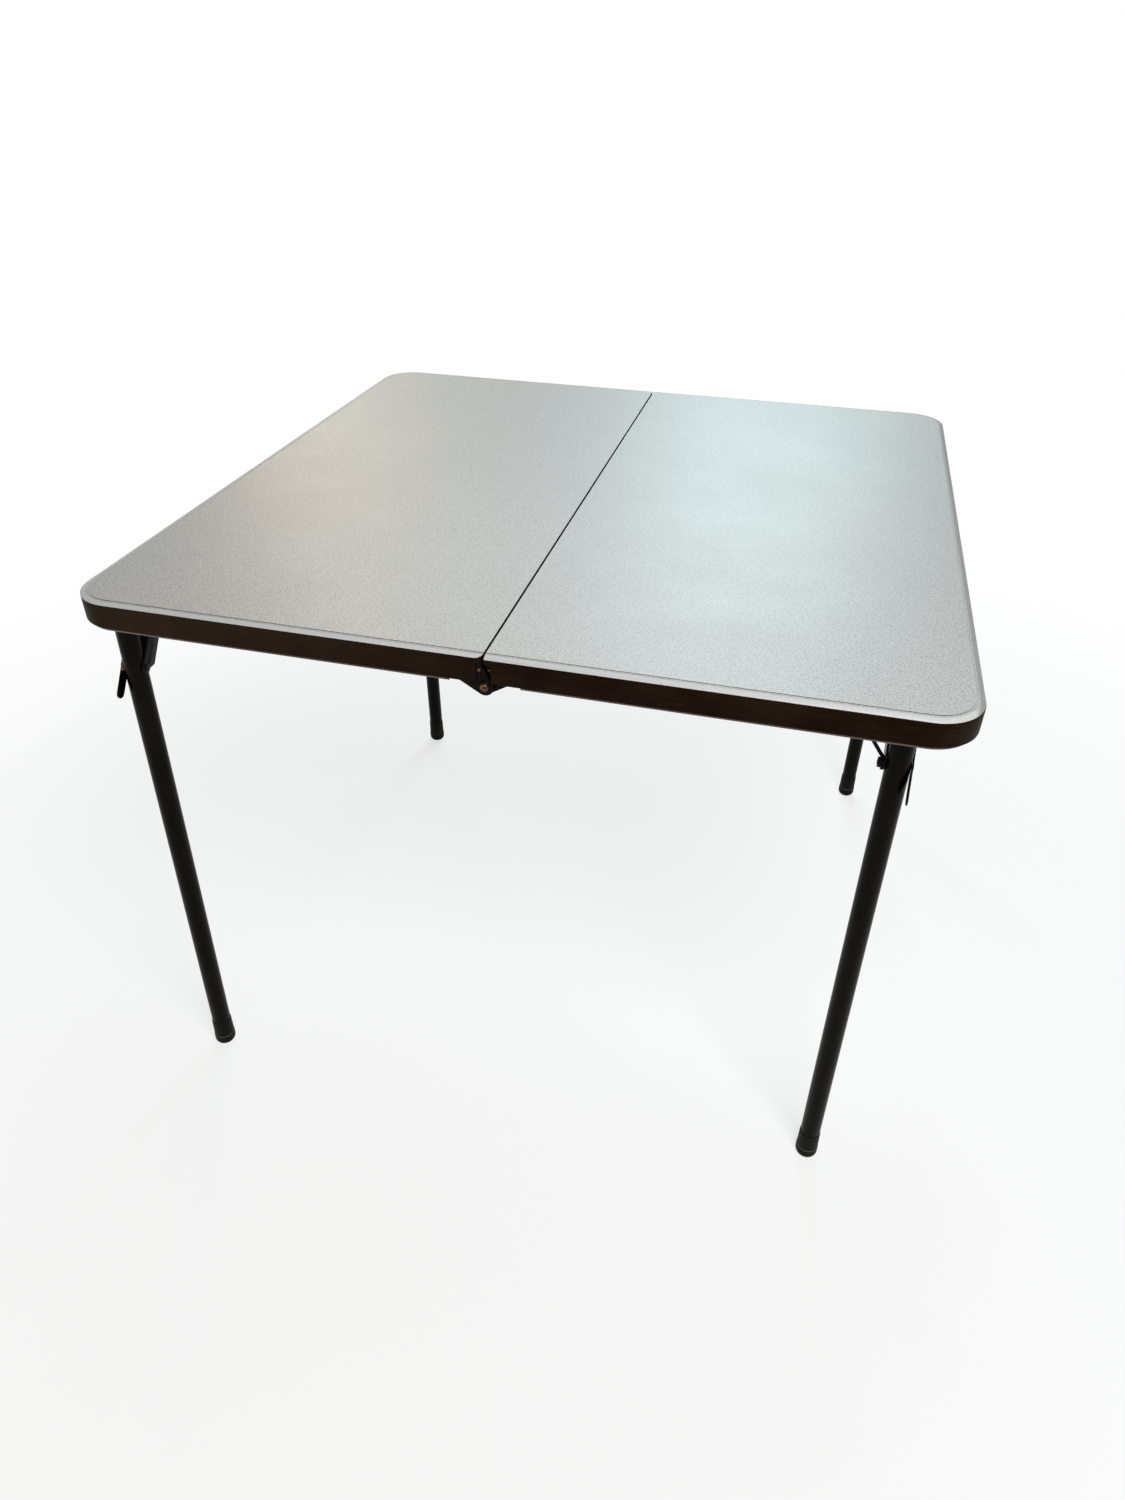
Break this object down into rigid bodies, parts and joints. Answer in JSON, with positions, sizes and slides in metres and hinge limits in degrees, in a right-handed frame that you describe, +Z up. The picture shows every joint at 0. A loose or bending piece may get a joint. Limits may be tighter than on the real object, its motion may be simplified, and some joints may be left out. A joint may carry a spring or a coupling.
{
  "type": "folding card table",
  "caption": "Square card table that folds in half: dark moulded halves on thin steel rails, with tube legs on toggle braces that fold flat underneath.",
  "frame": {"origin": "on the floor, under the middle of the top", "axes": "+Z up; the seam runs along Y; -Y is the side nearest in the picture; +X is its right half"},
  "size_m": [0.94, 0.94, 0.744],
  "materials": {
    "moulded_plastic": "fine pebbled texture, satin",
    "rail_steel": "glossy enamel",
    "black_steel": "satin powder coat",
    "bright_steel": "bronze-toned plating",
    "cap_plastic": "moulded, satin"
  },
  "bodies": {
    "left_half": {"top_panel_left": "moulded_plastic", "rail_left": "rail_steel", "cross_rail_left": "black_steel", "hinge_leaf_front_left": "black_steel", "hinge_leaf_back_left": "black_steel", "hinge_rivets_left": "bright_steel", "panel_screws_left": "bright_steel", "hinge_pin_front": "bright_steel", "hinge_pin_back": "bright_steel", "hinge_washers": "black_steel", "leg_bracket_front_left": "black_steel", "brace_studs_front_left": "bright_steel", "leg_bracket_back_left": "black_steel", "brace_studs_back_left": "bright_steel", "stay_bearing_back_left": "black_steel"},
    "right_half": {"top_panel_right": "moulded_plastic", "rail_right": "rail_steel", "cross_rail_right": "black_steel", "hinge_leaf_front_right": "black_steel", "hinge_leaf_back_right": "black_steel", "hinge_rivets_right": "bright_steel", "panel_screws_right": "bright_steel", "leg_bracket_back_right": "black_steel", "brace_studs_back_right": "bright_steel", "leg_bracket_front_right": "black_steel", "brace_studs_front_right": "bright_steel", "stay_bearing_front_right": "black_steel"},
    "leg_front_left": {"leg_tube_front_left": "black_steel", "foot_cap_front_left": "cap_plastic", "leg_axle_front_left": "bright_steel", "leg_spacers_front_left": "cap_plastic", "brace_pin_front_left": "black_steel"},
    "lower_brace_front_left": {"lower_link_front_left": "black_steel"},
    "upper_brace_front_left": {"upper_link_front_left": "black_steel"},
    "leg_back_left": {"leg_tube_back_left": "black_steel", "foot_cap_back_left": "cap_plastic", "leg_axle_back_left": "bright_steel", "leg_spacers_back_left": "cap_plastic", "brace_pin_back_left": "black_steel", "stay_rod_back_left": "black_steel", "stay_nut_back_left": "black_steel"},
    "lower_brace_back_left": {"lower_link_back_left": "black_steel"},
    "upper_brace_back_left": {"upper_link_back_left": "black_steel"},
    "leg_back_right": {"leg_tube_back_right": "black_steel", "foot_cap_back_right": "cap_plastic", "leg_axle_back_right": "bright_steel", "leg_spacers_back_right": "cap_plastic", "brace_pin_back_right": "black_steel"},
    "lower_brace_back_right": {"lower_link_back_right": "black_steel"},
    "upper_brace_back_right": {"upper_link_back_right": "black_steel"},
    "leg_front_right": {"leg_tube_front_right": "black_steel", "foot_cap_front_right": "cap_plastic", "leg_axle_front_right": "bright_steel", "leg_spacers_front_right": "cap_plastic", "brace_pin_front_right": "black_steel", "stay_rod_front_right": "black_steel", "stay_nut_front_right": "black_steel"},
    "lower_brace_front_right": {"lower_link_front_right": "black_steel"},
    "upper_brace_front_right": {"upper_link_front_right": "black_steel"}
  },
  "joints": [
    {"name": "table_fold", "type": "hinge", "parent": "left_half", "child": "right_half", "pos_m": [0, 0, 0.7075], "axis": [0, 1, 0], "range_deg": [0, 180]},
    {"name": "leg_fold_front_left", "type": "hinge", "parent": "left_half", "child": "leg_front_left", "pos_m": [-0.442, -0.414, 0.723], "axis": [1, 0, 0], "range_deg": [0, 91.52]},
    {"name": "lower_brace_fold_front_left", "type": "hinge", "parent": "leg_front_left", "child": "lower_brace_front_left", "pos_m": [-0.442, -0.4163, 0.63503], "axis": [1, 0, 0], "range_deg": [0, 34.69]},
    {"name": "upper_brace_fold_front_left", "type": "hinge", "parent": "left_half", "child": "upper_brace_front_left", "pos_m": [-0.442, -0.352, 0.723], "axis": [-1, 0, 0], "range_deg": [0, 53.85]},
    {"name": "leg_fold_back_left", "type": "hinge", "parent": "left_half", "child": "leg_back_left", "pos_m": [-0.412, 0.384, 0.723], "axis": [-1, 0, 0], "range_deg": [0, 91.52]},
    {"name": "lower_brace_fold_back_left", "type": "hinge", "parent": "leg_back_left", "child": "lower_brace_back_left", "pos_m": [-0.412, 0.3863, 0.63503], "axis": [-1, 0, 0], "range_deg": [0, 34.69]},
    {"name": "upper_brace_fold_back_left", "type": "hinge", "parent": "left_half", "child": "upper_brace_back_left", "pos_m": [-0.412, 0.322, 0.723], "axis": [1, 0, 0], "range_deg": [0, 53.85]},
    {"name": "leg_fold_back_right", "type": "hinge", "parent": "right_half", "child": "leg_back_right", "pos_m": [0.442, 0.414, 0.723], "axis": [-1, 0, 0], "range_deg": [0, 91.52]},
    {"name": "lower_brace_fold_back_right", "type": "hinge", "parent": "leg_back_right", "child": "lower_brace_back_right", "pos_m": [0.442, 0.4163, 0.63503], "axis": [-1, 0, 0], "range_deg": [0, 34.69]},
    {"name": "upper_brace_fold_back_right", "type": "hinge", "parent": "right_half", "child": "upper_brace_back_right", "pos_m": [0.442, 0.352, 0.723], "axis": [1, 0, 0], "range_deg": [0, 53.85]},
    {"name": "leg_fold_front_right", "type": "hinge", "parent": "right_half", "child": "leg_front_right", "pos_m": [0.412, -0.384, 0.723], "axis": [1, 0, 0], "range_deg": [0, 91.52]},
    {"name": "lower_brace_fold_front_right", "type": "hinge", "parent": "leg_front_right", "child": "lower_brace_front_right", "pos_m": [0.412, -0.3863, 0.63503], "axis": [1, 0, 0], "range_deg": [0, 34.69]},
    {"name": "upper_brace_fold_front_right", "type": "hinge", "parent": "right_half", "child": "upper_brace_front_right", "pos_m": [0.412, -0.322, 0.723], "axis": [-1, 0, 0], "range_deg": [0, 53.85]}
  ],
  "couplings": [
    {"joint": "leg_fold_front_left", "follows": "table_fold", "ratio": 0.50833},
    {"joint": "lower_brace_fold_front_left", "follows": "table_fold", "ratio": 0.19259},
    {"joint": "upper_brace_fold_front_left", "follows": "table_fold", "ratio": 0.29908},
    {"joint": "leg_fold_back_left", "follows": "table_fold", "ratio": 0.50833},
    {"joint": "lower_brace_fold_back_left", "follows": "table_fold", "ratio": 0.19259},
    {"joint": "upper_brace_fold_back_left", "follows": "table_fold", "ratio": 0.29908},
    {"joint": "leg_fold_back_right", "follows": "table_fold", "ratio": 0.50833},
    {"joint": "lower_brace_fold_back_right", "follows": "table_fold", "ratio": 0.19259},
    {"joint": "upper_brace_fold_back_right", "follows": "table_fold", "ratio": 0.29908},
    {"joint": "leg_fold_front_right", "follows": "table_fold", "ratio": 0.50833},
    {"joint": "lower_brace_fold_front_right", "follows": "table_fold", "ratio": 0.19259},
    {"joint": "upper_brace_fold_front_right", "follows": "table_fold", "ratio": 0.29908}
  ]
}
